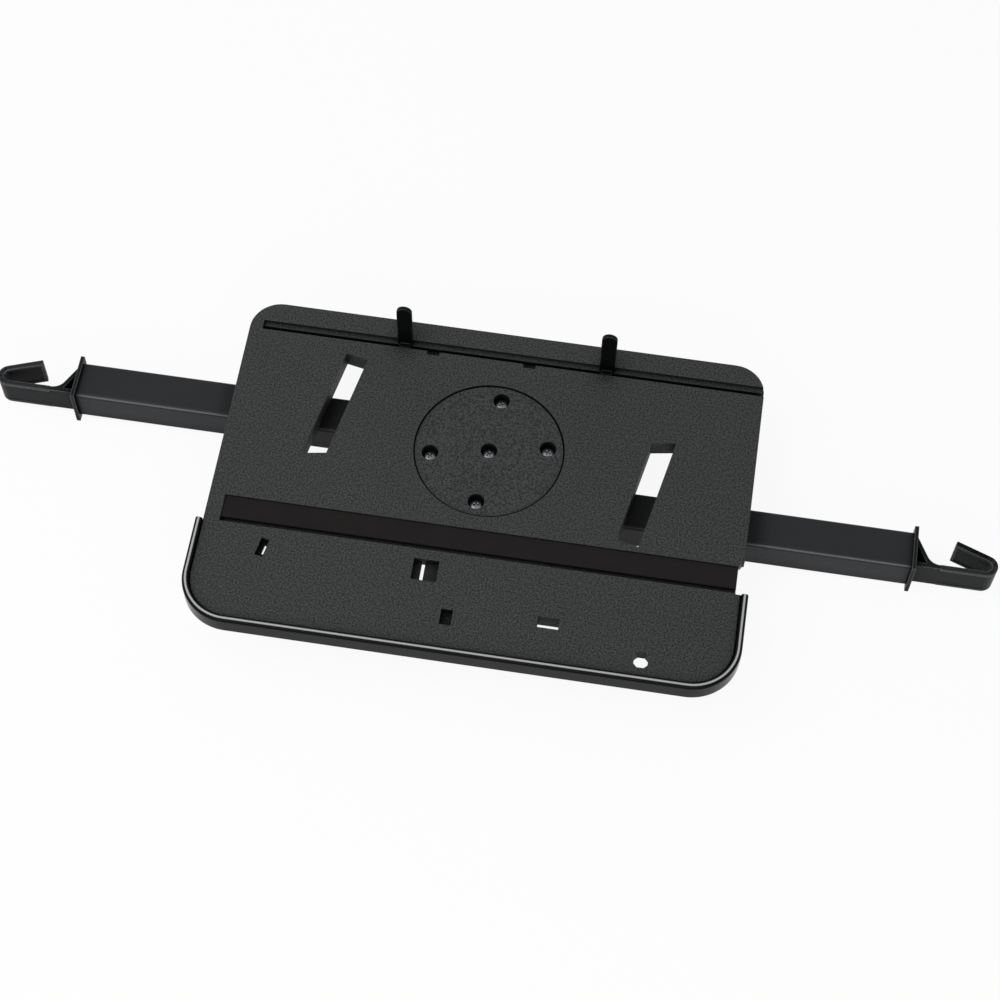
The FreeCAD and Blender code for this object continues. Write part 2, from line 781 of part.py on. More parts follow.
# Arm housing
def make_block():
    """The moulded housing: two open-bottomed tunnels under a round swivel plate."""
    body = new_body("carrier_base")
    section = outline(
        body, "section", "YZ_Plane", f"-{BLOCK_END}",
        [
            (f"-{BLOCK_SIDE}", COVER_TOP),
            (f"-{BLOCK_OUT}", COVER_TOP),
            (f"-{BLOCK_OUT}", ROOF_LOW),
            (f"-{BLOCK_IN}", ROOF_LOW),
            (f"-{BLOCK_IN}", COVER_TOP),
            (BLOCK_IN, COVER_TOP),
            (BLOCK_IN, ROOF_LOW),
            (BLOCK_OUT, ROOF_LOW),
            (BLOCK_OUT, COVER_TOP),
            (BLOCK_SIDE, COVER_TOP),
            (BLOCK_SIDE, ROOF_TOP),
            (f"-{BLOCK_SIDE}", ROOF_TOP),
        ],
    )
    pad(body, "tunnels", section, "block_length")
    corners = corner_pair(BLOCK_END, BLOCK_SIDE) + corner_pair(BLOCK_END, f"-{BLOCK_SIDE}")
    fillet(body, "corners", "block_corner", lambda edge: upright_at(edge, corners))
    plate = circles(body, "plate_round", ROOF_TOP, [("0", "0", "hub_ring")])
    pad(body, "swivel_plate", plate, f"{WASHER_LOW} - {ROOF_TOP}")
    for index, middle in enumerate(("-gusset_out", "gusset_out")):
        gussets = outline(
            body, f"gusset_outline_{index}", "YZ_Plane", f"{middle} - gusset_wall / 2",
            *[
                [
                    (f"{sign} * {BLOCK_SIDE}", ROOF_TOP),
                    (f"{sign} * ({BLOCK_SIDE} + gusset_reach)", ROOF_TOP),
                    (f"{sign} * {BLOCK_SIDE}", f"{ROOF_TOP} - gusset_reach"),
                ]
                for sign in (-1, 1)
            ],
        )
        pad(body, f"gussets_{index}", gussets, "gusset_wall")
    recess = circles(body, "recess_round", WASHER_LOW, [("0", "0", "disc_body + screw_gap")])
    pocket(body, "disc_recess", recess, "hub_spigot")
    pilots = circles(
        body, "pilot_rounds", DISC_LOW, [(x, y, "shank_radius + screw_gap / 2") for x, y in SCREW_SPOTS]
    )
    pocket(body, "hub_pilots", pilots, f"shank_length - ({HEAD_SEAT} - {DISC_LOW}) + screw_gap")
    cover_pilots = circles(
        body, "cover_rounds", COVER_TOP, [(x, y, "cover_shank + screw_gap / 2") for x, y in COVER_SPOTS]
    )
    pocket(body, "cover_pilots", cover_pilots, "cover_screw_length", upward=True)
    return body


def side_span(sign, near, length):
    """Where a stretch of the given length starts on the left or the right, counted from near."""
    return near if sign > 0 else f"-({near} + {length})"


def make_cover():
    """The closing plate: stop slots for the arms' tails and shallow seats for the brake leaves."""
    body = new_body("carrier_cover")
    plan = outline(
        body, "plan", "XY_Plane", COVER_LOW,
        box(f"-{BLOCK_END}", f"-{BLOCK_SIDE}", BLOCK_END, BLOCK_SIDE),
    )
    pad(body, "plate", plan, "cover_thick")
    corners = corner_pair(BLOCK_END, BLOCK_SIDE) + corner_pair(BLOCK_END, f"-{BLOCK_SIDE}")
    fillet(body, "corners", "block_corner", lambda edge: upright_at(edge, corners))
    slot_end = "(arm_travel - arm_tail + nub_gap)"
    slot_half = "(nub_width / 2 + nub_gap)"
    slots = outline(
        body, "slot_outline", "XY_Plane", COVER_TOP,
        *[
            box(
                side_span(sign, f"-{BLOCK_END}", f"({BLOCK_END} + {slot_end})"),
                f"{-sign} * arm_offset - {slot_half}",
                f"{side_span(sign, f'-{BLOCK_END}', f'({BLOCK_END} + {slot_end})')}"
                f" + {BLOCK_END} + {slot_end}",
                f"{-sign} * arm_offset + {slot_half}",
            )
            for sign in (-1, 1)
        ],
    )
    pocket(body, "stop_slots", slots, "cover_thick")
    seats = outline(
        body, "seat_outline", "XY_Plane", COVER_TOP,
        *[
            box(
                f"{sign} * leaf_out - leaf_length / 2 - leaf_gap",
                f"{-sign} * arm_offset - leaf_width / 2 - leaf_gap",
                f"{sign} * leaf_out + leaf_length / 2 + leaf_gap",
                f"{-sign} * arm_offset + leaf_width / 2 + leaf_gap",
            )
            for sign in (-1, 1)
        ],
    )
    pocket(body, "leaf_seats", seats, "leaf_pocket")
    holes = circles(
        body, "hole_rounds", COVER_TOP, [(x, y, "cover_shank + screw_gap / 2") for x, y in COVER_SPOTS]
    )
    pocket(body, "screw_holes", holes, "cover_thick")
    heads = circles(
        body, "head_rounds", COVER_LOW, [(x, y, "cover_head + screw_gap") for x, y in COVER_SPOTS]
    )
    pocket(body, "head_seats", heads, "cover_head_depth", upward=True)
    return body


def make_leaf(label, sign):
    """A bowed spring leaf that brakes one arm from below."""
    body = new_body(label)
    middle = f"({sign} * leaf_out)"
    low = f"({COVER_TOP} - leaf_pocket)"
    rise = f"({ARM_LOW} - leaf_gap - leaf_thick - {low})"
    centre = f"({low} + {rise} / 2 - leaf_length * leaf_length / 8 / {rise})"
    section = new_sketch(body, "section", "XZ_Plane", f"{sign} * arm_offset - leaf_width / 2")
    draw(
        section,
        [
            (f"{middle} - leaf_length / 2", low, -1, "y", centre),
            (f"{middle} + leaf_length / 2", low),
            (f"{middle} + leaf_length / 2", f"{low} + leaf_thick", 1, "y", f"{centre} + leaf_thick"),
            (f"{middle} - leaf_length / 2", f"{low} + leaf_thick"),
        ],
    )
    pad(body, "leaf", section, "leaf_width")
    return body


# Arms
def square(half_y, half_z, sign):
    """A rectangle about the arm's centre line, on the left (1 in Y) or right side."""
    middle = f"({-sign} * arm_offset)"
    return box(
        f"{middle} - {half_y}", f"{ARM_MID} - {half_z}", f"{middle} + {half_y}", f"{ARM_MID} + {half_z}"
    )


def make_arm(label, sign):
    body = new_body(label)
    start = "-arm_tail" if sign > 0 else "-arm_reach"
    section = outline(body, "section", "YZ_Plane", start, square(ARM_HALF, ARM_HALF, sign))
    pad(body, "bar", section, "arm_tail + arm_reach")
    fillet(body, "corners", "arm_corner", lambda edge: runs_along(edge, "x"))
    hollow_half = f"({ARM_HALF} - arm_wall)"
    end = "arm_reach" if sign > 0 else "arm_tail"
    inside = outline(body, "inside", "YZ_Plane", end, square(hollow_half, hollow_half, sign))
    pocket(body, "hollow", inside, "arm_tail + arm_reach")
    hole = circles(
        body, "hole_round", ARM_LOW,
        [(f"{sign} * (arm_reach - hook_screw_back)", f"{-sign} * arm_offset", "hook_shank + screw_gap")],
    )
    pocket(body, "screw_hole", hole, "arm_wall", upward=True)
    return body


def make_plug(label, sign):
    """The cap in an arm's inner end; its nub stops the arm at full reach."""
    body = new_body(label)
    cap_half = f"({ARM_HALF} - plug_inset)"
    cap_start = "-(arm_tail + plug_cap)" if sign > 0 else "arm_tail"
    cap = outline(body, "cap_section", "YZ_Plane", cap_start, square(cap_half, cap_half, sign))
    pad(body, "cap", cap, "plug_cap")
    spigot_start = "-arm_tail" if sign > 0 else "arm_tail - plug_length"
    spigot = outline(
        body, "spigot_section", "YZ_Plane", spigot_start, square(PLUG_HALF, PLUG_HALF, sign)
    )
    pad(body, "spigot", spigot, "plug_length")
    middle = f"({-sign} * arm_offset)"
    nub = outline(
        body, "nub_section", "YZ_Plane", cap_start,
        box(
            f"{middle} - nub_width / 2", f"{ARM_LOW} - nub_drop",
            f"{middle} + nub_width / 2", f"{ARM_LOW} + arm_wall",
        ),
    )
    pad(body, "nub", nub, "plug_cap")
    return body


# Hooks
def make_hook(label, sign):
    """A J-shaped strip on a ribbed root, with a flange that caps the arm and a spigot inside it."""
    body = new_body(label)
    flange_half = f"({ARM_HALF} + flange_lip)"
    flange_start = side_span(sign, "arm_reach", "flange_thick")
    flange = outline(
        body, "flange_section", "YZ_Plane", flange_start, square(flange_half, flange_half, sign)
    )
    pad(body, "flange", flange, "flange_thick")
    spigot_start = side_span(sign, "(arm_reach - spigot_length)", "spigot_length")
    spigot = outline(
        body, "spigot_section", "YZ_Plane", spigot_start, square(PLUG_HALF, PLUG_HALF, sign)
    )
    pad(body, "spigot", spigot, "spigot_length")

    root = "(arm_reach + flange_thick)"
    near = f"({-sign} * arm_offset - {ARM_HALF} + hook_inset)"
    shank = f"({near} + hook_thick / 2)"
    far = f"({near} + hook_thick)"
    turn_radius = "(bend_inner + hook_thick / 2)"
    bend_x = "(hook_reach - bend_inner - hook_thick)"
    leave_x = f"({bend_x} + {turn_radius} * sin(hook_slope))"
    leave_y = f"({shank} + {turn_radius} + {turn_radius} * cos(hook_slope))"
    line = new_sketch(body, "hook_line", "XY_Plane", ARM_MID)
    draw(
        line,
        [
            (f"{sign} * {root}", shank),
            (f"{sign} * {bend_x}", shank, sign, "x", f"{sign} * {bend_x}"),
            (f"{sign} * {leave_x}", leave_y),
            (f"{sign} * hook_tip", f"{leave_y} + ({leave_x} - hook_tip) * tan(hook_slope)"),
        ],
        closed=False,
    )
    strip = outline(
        body, "strip_section", "YZ_Plane", f"{sign} * {root}",
        box(near, f"{ARM_MID} - hook_height / 2", far, f"{ARM_MID} + hook_height / 2"),
    )
    sweep(body, "hook", strip, line)

    gusset = outline(
        body, "gusset_outline", "XY_Plane", f"{ARM_MID} - hook_height / 2",
        [
            (f"{sign} * {root}", shank),
            (f"{sign} * ({root} + gusset_run)", shank),
            (f"{sign} * ({root} + gusset_run)", far, -sign, "x", f"{sign} * ({root} + gusset_run)"),
            (f"{sign} * ({root} + knee_run)", f"{far} + knee_rise"),
            (f"{sign} * {root}", f"{far} + gusset_rise"),
        ],
    )
    pad(body, "gusset", gusset, "hook_height")
    relief = [
        (f"{sign} * {root}", far),
        (f"{sign} * ({root} + relief_run)", far),
        (f"{sign} * {root}", f"{far} + relief_rise"),
    ]
    relief_depth = "(hook_height - relief_web) / 2"
    upper = outline(body, "upper_relief", "XY_Plane", f"{ARM_MID} + hook_height / 2", relief)
    pocket(body, "upper_pocket", upper, relief_depth)
    lower = outline(body, "lower_relief", "XY_Plane", f"{ARM_MID} - hook_height / 2", relief)
    pocket(body, "lower_pocket", lower, relief_depth, upward=True)
    pilot = circles(
        body, "pilot_round", f"{ARM_MID} - {PLUG_HALF}",
        [(f"{sign} * (arm_reach - hook_screw_back)", f"{-sign} * arm_offset", "hook_shank + screw_gap / 2")],
    )
    pocket(body, "screw_pilot", pilot, "hook_screw_length - arm_wall", upward=True)
    return body


# Fasteners
def cylinder(name, x, y, z, radius, height):
    part = doc.addObject("Part::Cylinder", name)
    bind(part, "Radius", radius)
    bind(part, "Height", height)
    bind(part, "Placement.Base.x", x)
    bind(part, "Placement.Base.y", y)
    bind(part, "Placement.Base.z", z)
    return part


def make_screws(label, spots, head, shank):
    """One screw at each spot. Head and shank are each (lowest level, radius, length)."""
    screws = []
    for index, (x, y) in enumerate(spots):
        top = cylinder(f"{label}_head_{index}", x, y, head[0], head[1], head[2])
        stem = cylinder(f"{label}_shank_{index}", x, y, shank[0], shank[1], shank[2])
        screw = doc.addObject("Part::Fuse", f"{label}_screw_{index}")
        screw.Base = top
        screw.Tool = stem
        screws.append(screw)
    if len(screws) == 1:
        screws[0].Label = label
        return screws[0]
    group = doc.addObject("Part::Compound", label)
    group.Links = screws
    group.Label = label
    return group


def hook_spot(sign):
    return [(f"{sign} * (arm_reach - hook_screw_back)", f"{-sign} * arm_offset")]


RIGHT = 1
LEFT = -1
RIM_LOW = f"({FACE} - rim_depth)"
HOOK_HEAD = (f"{ARM_LOW} - hook_head_height", "hook_head", "hook_head_height")
HOOK_SHANK = (ARM_LOW, "hook_shank", "hook_screw_length")

pieces = [
    make_tray(),
    make_rim(),
    make_strip(),
    make_stop("left_stop", LEFT),
    make_stop("right_stop", RIGHT),
    make_disc(),
    make_washer(),
    make_block(),
    make_cover(),
    make_leaf("left_leaf", LEFT),
    make_leaf("right_leaf", RIGHT),
    make_arm("left_arm", LEFT),
    make_arm("right_arm", RIGHT),
    make_plug("left_plug", LEFT),
    make_plug("right_plug", RIGHT),
    make_hook("left_hook", LEFT),
    make_hook("right_hook", RIGHT),
    make_screws(
        "hub_screws", SCREW_SPOTS,
        (HEAD_SEAT, "head_radius", "head_height"),
        (f"{HEAD_SEAT} - shank_length", "shank_radius", "shank_length"),
    ),
    make_screws(
        "rim_screws", RIM_SPOTS,
        (RIM_LOW, "rim_head", "rim_head_depth"),
        (RIM_LOW, "rim_shank", "rim_screw_length"),
    ),
    make_screws(
        "cover_screws", COVER_SPOTS,
        (f"{COVER_LOW} + cover_head_depth / 4", "cover_head", "cover_head_depth * 3 / 4"),
        (f"{COVER_LOW} + cover_head_depth", "cover_shank", "cover_screw_length"),
    ),
    make_screws("left_hook_screw", hook_spot(LEFT), HOOK_HEAD, HOOK_SHANK),
    make_screws("right_hook_screw", hook_spot(RIGHT), HOOK_HEAD, HOOK_SHANK),
]
doc.recompute()

# Proof of every object and solid, then the files
for item in doc.Objects:
    if "Invalid" in item.State or "Error" in item.State:
        raise RuntimeError(f"{item.Label} did not build: {item.State}")
for piece in pieces:
    if piece.Shape.isNull() or not piece.Shape.isValid():
        raise RuntimeError(f"{piece.Label} has no valid shape")
os.makedirs("parts", exist_ok=True)
for piece in pieces:
    piece.Shape.exportStep(f"parts/{piece.Label}.step")
    print(piece.Label, len(piece.Shape.Solids), "solid(s)", round(piece.Shape.Volume), "cubic mm")
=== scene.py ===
# %% [markdown]
# # Swivelling player tray for a car's headrest posts
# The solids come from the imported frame: a tray that turns on a hub, a housing under it, and a pair of
# square arms that end in hooks. This lesson gives each of them the finish of the real moulding. The
# frame is loaded first, because every piece added later takes its place from it.

# %% Load the frame
import math

import bmesh
import bpy
from mathutils import Matrix, Vector


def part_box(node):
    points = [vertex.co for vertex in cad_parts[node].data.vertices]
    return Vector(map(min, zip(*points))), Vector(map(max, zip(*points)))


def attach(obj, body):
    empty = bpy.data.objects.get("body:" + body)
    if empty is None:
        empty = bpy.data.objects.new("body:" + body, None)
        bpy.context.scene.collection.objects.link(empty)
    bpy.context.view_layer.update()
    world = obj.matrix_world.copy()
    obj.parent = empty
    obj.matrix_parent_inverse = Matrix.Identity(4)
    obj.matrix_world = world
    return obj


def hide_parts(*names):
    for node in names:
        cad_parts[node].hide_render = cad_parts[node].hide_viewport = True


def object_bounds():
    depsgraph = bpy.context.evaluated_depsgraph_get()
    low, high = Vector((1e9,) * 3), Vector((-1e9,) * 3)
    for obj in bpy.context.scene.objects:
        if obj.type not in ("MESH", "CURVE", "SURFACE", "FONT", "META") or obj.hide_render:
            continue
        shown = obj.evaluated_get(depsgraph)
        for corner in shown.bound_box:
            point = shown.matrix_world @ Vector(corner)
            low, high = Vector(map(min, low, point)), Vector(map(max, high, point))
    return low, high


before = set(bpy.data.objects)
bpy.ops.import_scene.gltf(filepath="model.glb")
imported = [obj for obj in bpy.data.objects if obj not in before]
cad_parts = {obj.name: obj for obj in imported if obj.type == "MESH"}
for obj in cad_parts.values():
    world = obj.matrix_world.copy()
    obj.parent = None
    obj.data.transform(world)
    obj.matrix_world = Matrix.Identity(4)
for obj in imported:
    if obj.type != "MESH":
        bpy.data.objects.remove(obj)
cad_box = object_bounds()
scene = bpy.context.scene
scene.view_settings.view_transform = "Standard"
MM = 0.001

# %% [markdown]
# ## The camera
# The photograph looks down at the tray from the front and a little from the right. The tray's straight
# edges and its round disc fix that direction, so the camera is turned by three plain angles instead of
# being aimed at a target: heading about the upright, elevation above the floor, and a slight roll.

# %% Camera at the photograph's angle
CAMERA_PLACE = Vector((90.4, -624.9, 1149.7)) * MM
CAMERA_HEADING = math.radians(7.62)
CAMERA_ELEVATION = math.radians(61.61)
CAMERA_ROLL = math.radians(1.26)

camera = bpy.data.objects.new("camera", bpy.data.cameras.new("camera"))
scene.collection.objects.link(camera)
camera.data.sensor_width = 36.0
camera.data.lens = 82.24
camera.matrix_world = (
    Matrix.Translation(CAMERA_PLACE)
    @ Matrix.Rotation(CAMERA_HEADING, 4, "Z")
    @ Matrix.Rotation(math.radians(90) - CAMERA_ELEVATION, 4, "X")
    @ Matrix.Rotation(CAMERA_ROLL, 4, "Z")
)
scene.camera = camera
print("camera stands", round(CAMERA_PLACE.length, 3), "m from the hub")

# %% [markdown]
# ## Small helpers for materials
# Colours are written as the eye names them, in sRGB hex, and one function turns them to the linear
# values that the shader wants. Another adds a node with its settings and its links, so that each
# material below reads as a short list.


# %% Colour and node helpers
def linear(shade):
    """An sRGB hex colour as a linear RGBA tuple."""
    channels = [int(shade[start:start + 2], 16) / 255 for start in (1, 3, 5)]
    return tuple(c / 12.92 if c <= 0.04045 else ((c + 0.055) / 1.055) ** 2.4 for c in channels) + (1.0,)


def dimmed(shade, share):
    """An sRGB hex colour as linear gives it, its light multiplied by a share."""
    return tuple(share * c for c in linear(shade)[:3]) + (1.0,)


def add(tree, kind, settings=None, links=None):
    """A new node. Settings are sockets (by name or number) or the node's own options."""
    node = tree.nodes.new(kind)
    for name, setting in (settings or {}).items():
        if isinstance(name, int) or name in node.inputs:
            node.inputs[name].default_value = setting
        else:
            setattr(node, name, setting)
    for name, source in (links or {}).items():
        tree.links.new(source, node.inputs[name])
    return node


def empty_material(name):
    """A new material without nodes, and its node tree."""
    material = bpy.data.materials.new(name)
    material.use_nodes = True
    material.node_tree.nodes.clear()
    return material, material.node_tree


print("mid grey in linear light:", round(linear("#808080")[0], 3))

# %% [markdown]
# ## Moulded plastics
# Nearly all of this object is injection-moulded plastic, and what tells the pieces apart is the mould:
# spark-eroded steel leaves the pebble grain of the tray, polished steel the shine of the front lip.
# One recipe holds both. A fine noise of a given pebble size raises the surface, a wide cloud shifts the
# colour and gloss a little, the sharp edges are softened and drawn paler, partly as wear and partly as a
# painted highlight, and narrow recesses get painted shade, their colour darkened where walls stand near.
# The edges could be cut into the mesh, but the solids stay as they are, so the shader rounds them.


# %% The recipe for moulded plastic
CLOUD_MM = 38.0
SCUFF_MM = 7.0
# How far colour and roughness vary to either side, and how much further the colour with full speckle.
COLOUR_SWING, ROUGH_SWING, SPECKLE_SWING = 0.14, 0.15, 0.5
# The range of a noise's values that is stretched to its full effect.
PEBBLE_NOISE = {"From Min": 0.36, "From Max": 0.64}
SCUFF_NOISE = {"From Min": 0.3, "From Max": 0.7}
# Edges are drawn paler, partly as wear and partly as a painted highlight, where the rounded normal leaves
# the face's own: the cosine at none and at full paleness.
EDGE_WEAR_AND_HIGHLIGHT = {"From Min": 0.99, "From Max": 0.82}
# Painted shade darkens a recess where walls stand this near: the openness at its darkest and at none, and
# the share of the colour that is left at its darkest.
PAINTED_SHADE_MM = 14.0
PAINTED_SHADE_OPEN = {"From Min": 0.55, "From Max": 0.96}
PAINTED_SHADE_SHARE = 0.06


def moulded(
    name, shade, edge_and_highlight_shade, roughness, pebble_mm, depth_mm, edge_mm, gloss, speckle=0.0, highlight_crest=None
):
    """Plastic with a pebble grain of the given size and depth, and edges rounded by edge_mm.
    Speckle is how much of the change in colour follows the pebbles. The highlight crest is the height
    above the floor along which a pale band is painted as a highlight, and how far the band reaches from
    it."""
    swing = COLOUR_SWING + SPECKLE_SWING * speckle
    material, tree = empty_material(name)
    place = add(tree, "ShaderNodeTexCoord").outputs["Object"]
    grit = add(
        tree, "ShaderNodeTexNoise", {"Scale": 1 / (pebble_mm * MM), "Detail": 1.5}, {"Vector": place}
    )
    pebbles = add(tree, "ShaderNodeMapRange", PEBBLE_NOISE, {"Value": grit.outputs["Fac"]})
    cloud = add(
        tree, "ShaderNodeTexNoise", {"Scale": 1 / (CLOUD_MM * MM), "Detail": 3.0}, {"Vector": place}
    )
    scuffs = add(
        tree, "ShaderNodeTexNoise",
        {"Scale": 1 / (SCUFF_MM * MM), "Detail": 6.0, "Roughness": 0.65}, {"Vector": place},
    )
    edge = add(tree, "ShaderNodeBevel", {"samples": 4, "Radius": edge_mm * MM})
    facing = add(tree, "ShaderNodeNewGeometry")
    agreement = add(
        tree, "ShaderNodeVectorMath", {"operation": "DOT_PRODUCT"},
        {0: edge.outputs["Normal"], 1: facing.outputs["Normal"]},
    )
    # Paler edges: partly wear, partly a painted highlight.
    edge_wear_and_highlight = add(tree, "ShaderNodeMapRange", EDGE_WEAR_AND_HIGHLIGHT, {"Value": agreement.outputs["Value"]})
    # A pale band painted as a highlight at one height, along a lip's crest or an arm's rounded edge.
    if highlight_crest:
        crest_mm, reach_mm = highlight_crest
        height = add(tree, "ShaderNodeSeparateXYZ", {}, {"Vector": place})
        above = add(
            tree, "ShaderNodeMath", {"operation": "SUBTRACT", 1: crest_mm * MM}, {0: height.outputs["Z"]}
        )
        away = add(tree, "ShaderNodeMath", {"operation": "ABSOLUTE"}, {0: above.outputs["Value"]})
        painted_highlight_band = add(
            tree, "ShaderNodeMapRange", {"From Min": reach_mm * MM, "From Max": 0.0},
            {"Value": away.outputs["Value"]},
        )
        edge_wear_and_highlight = add(
            tree, "ShaderNodeMath", {"operation": "MAXIMUM"},
            {0: edge_wear_and_highlight.outputs["Result"], 1: painted_highlight_band.outputs["Result"]},
        )
    mottle = add(
        tree, "ShaderNodeMix", {"data_type": "FLOAT", 0: speckle},
        {2: cloud.outputs["Fac"], 3: pebbles.outputs["Result"]},
    )
    tint = add(
        tree, "ShaderNodeMix",
        {"data_type": "RGBA", 6: dimmed(shade, 1 - swing), 7: dimmed(shade, 1 + swing)},
        {0: mottle.outputs[0]},
    )
    colour = add(
        tree, "ShaderNodeMix", {"data_type": "RGBA", 7: linear(edge_and_highlight_shade)},
        {0: edge_wear_and_highlight.outputs[0], 6: tint.outputs[2]},
    )
    # Painted shade: the colour darkens towards a small share of itself where walls stand near.
    painted_shade_ao = add(tree, "ShaderNodeAmbientOcclusion", {"samples": 3, "Distance": PAINTED_SHADE_MM * MM})
    painted_shade_openness = add(tree, "ShaderNodeMapRange", PAINTED_SHADE_OPEN, {"Value": painted_shade_ao.outputs["AO"]})
    with_painted_shade = add(
        tree, "ShaderNodeMix", {"data_type": "RGBA", 6: dimmed(shade, PAINTED_SHADE_SHARE)},
        {0: painted_shade_openness.outputs["Result"], 7: colour.outputs[2]},
    )
    dullness = add(
        tree, "ShaderNodeMapRange",
        SCUFF_NOISE | {"To Min": roughness * (1 - ROUGH_SWING), "To Max": roughness * (1 + ROUGH_SWING)},
        {"Value": scuffs.outputs["Fac"]},
    )
    grain = add(
        tree, "ShaderNodeBump", {"Strength": 1.0, "Distance": depth_mm * MM},
        {"Height": pebbles.outputs["Result"], "Normal": edge.outputs["Normal"]},
    )
    shader = add(
        tree, "ShaderNodeBsdfPrincipled",
        {"IOR": 1.5, "Specular IOR Level": gloss},
        {
            "Base Color": with_painted_shade.outputs[2],
            "Roughness": dullness.outputs["Result"],
            "Normal": grain.outputs["Normal"],
        },
    )
    add(tree, "ShaderNodeOutputMaterial", {}, {"Surface": shader.outputs["BSDF"]})
    return material


# %% The plastics of this object
# Grained ABS: a spark-eroded mould gives a pebbled, light-scattering dark grey.
grained_abs = moulded(
    "grained_abs", "#373938", "#454746",
    roughness=0.52, pebble_mm=1.0, depth_mm=0.18, edge_mm=0.5, gloss=0.12, speckle=0.9,
)
# Satin ABS: a stoned mould leaves the housing even and dull.
satin_abs = moulded(
    "satin_abs", "#2f3032", "#45474a",
    roughness=0.3, pebble_mm=0.7, depth_mm=0.01, edge_mm=0.6, gloss=0.05,
)
# Satin ABS with a painted highlight: the same plastic on the arms, with a pale band painted as a
# highlight along their rounded top edges. The band is widest a third of the way down the rounding.
ARM_ROUNDING, ARM_HIGHLIGHT_REACH = 2.4, 0.6
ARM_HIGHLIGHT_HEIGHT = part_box("left_arm")[1][2] / MM - 0.33 * ARM_ROUNDING
painted_highlight_abs = moulded(
    "painted_highlight_abs", "#2f3032", "#676a6d",
    roughness=0.3, pebble_mm=0.7, depth_mm=0.01, edge_mm=0.6, gloss=0.05,
    highlight_crest=(ARM_HIGHLIGHT_HEIGHT, ARM_HIGHLIGHT_REACH),
)
# Glass-filled nylon: the strong plastic of the hooks, with pale lines along the edges, partly wear and
# partly a painted highlight.
filled_nylon = moulded(
    "glass_filled_nylon", "#1d1e1f", "#6c6f72",
    roughness=0.36, pebble_mm=0.8, depth_mm=0.02, edge_mm=1.0, gloss=0.05,
)
# Nylon with a painted highlight: the same plastic on the raised borders of the hooks, painted a shade
# paler as a highlight.
painted_highlight_nylon = moulded(
    "painted_highlight_nylon", "#2e3032", "#85888b",
    roughness=0.33, pebble_mm=0.8, depth_mm=0.02, edge_mm=1.0, gloss=0.1,
)
# Polished ABS: a mirror-finished mould makes the front lip shine, and a pale band is painted along its
# crest as a highlight.
LIP_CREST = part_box("front_rim")[1][2] / MM
LIP_HIGHLIGHT_REACH = 0.14
polished_abs = moulded(
    "polished_abs", "#070708", "#b4b6b8",
    roughness=0.16, pebble_mm=0.9, depth_mm=0.003, edge_mm=0.15, gloss=0.06,
    highlight_crest=(LIP_CREST, LIP_HIGHLIGHT_REACH),
)
# Black acetal: slippery, dense and nearly black, for the stops that slide in the groove.
black_acetal = moulded(
    "black_acetal", "#0a0b0b", "#55575a",
    roughness=0.34, pebble_mm=0.6, depth_mm=0.008, edge_mm=0.7, gloss=0.08,
)
# Natural nylon: the waxy white of the bearing washer.
natural_nylon = moulded(
    "natural_nylon", "#d6d2c6", "#e4e1d8",
    roughness=0.45, pebble_mm=0.9, depth_mm=0.01, edge_mm=0.2, gloss=0.4,
)
print("plastics:", [m.name for m in bpy.data.materials if m.name.endswith(("abs", "nylon", "acetal"))])

# %% [markdown]
# ## The grip strip
# The band across the tray keeps the player from sliding. It is thin EPDM rubber: dull, a warm black,
# with the fine cloth mark of the calendered sheet it was cut from. Crossed waves give that mark. The
# real threads are too fine to show, so they are drawn about a millimetre apart.

# %% Rubber
WEAVE_MM, WEAVE_DEPTH_MM = 1.1, 0.05
DUST_MM = 12
# At a scale of 1 the waves stand this far apart.
WAVE_LENGTH = 0.314
epdm_rubber, tree = empty_material("epdm_rubber")
place = add(tree, "ShaderNodeTexCoord").outputs["Object"]
threads = [
    add(
        tree, "ShaderNodeTexWave",
        {"bands_direction": direction, "Scale": WAVE_LENGTH / (WEAVE_MM * MM), "Distortion": 0.6},
        {"Vector": place},
    ).outputs["Fac"]
    for direction in ("X", "Y")
]
weave = add(tree, "ShaderNodeMath", {"operation": "MULTIPLY"}, {0: threads[0], 1: threads[1]})
dust = add(tree, "ShaderNodeTexNoise", {"Scale": 1 / (DUST_MM * MM), "Detail": 5.0}, {"Vector": place})
colour = add(
    tree, "ShaderNodeMix",
    {"data_type": "RGBA", 6: linear("#171414"), 7: linear("#211d1e")}, {0: dust.outputs["Fac"]},
)
mark = add(tree, "ShaderNodeBump", {"Distance": WEAVE_DEPTH_MM * MM}, {"Height": weave.outputs["Value"]})
shader = add(
    tree, "ShaderNodeBsdfPrincipled",
    {"Roughness": 0.85, "IOR": 1.52, "Specular IOR Level": 0.12},
    {"Base Color": colour.outputs[2], "Normal": mark.outputs["Normal"]},
)
add(tree, "ShaderNodeOutputMaterial", {}, {"Surface": shader.outputs["BSDF"]})
print("rubber threads", WEAVE_MM, "mm apart")

# %% [markdown]
# ## Steel
# The screws are zinc-plated, so they keep a cool, slightly cloudy shine. The brake leaves are rolled
# spring steel, and rolling leaves fine lines along their length. Both are the same metal shader with a
# noise that is stretched along the leaf for the rolled one.


# %% Plated and rolled steel
STEEL_ROUGH_SWING = 0.3
STEEL_DARK = 0.8


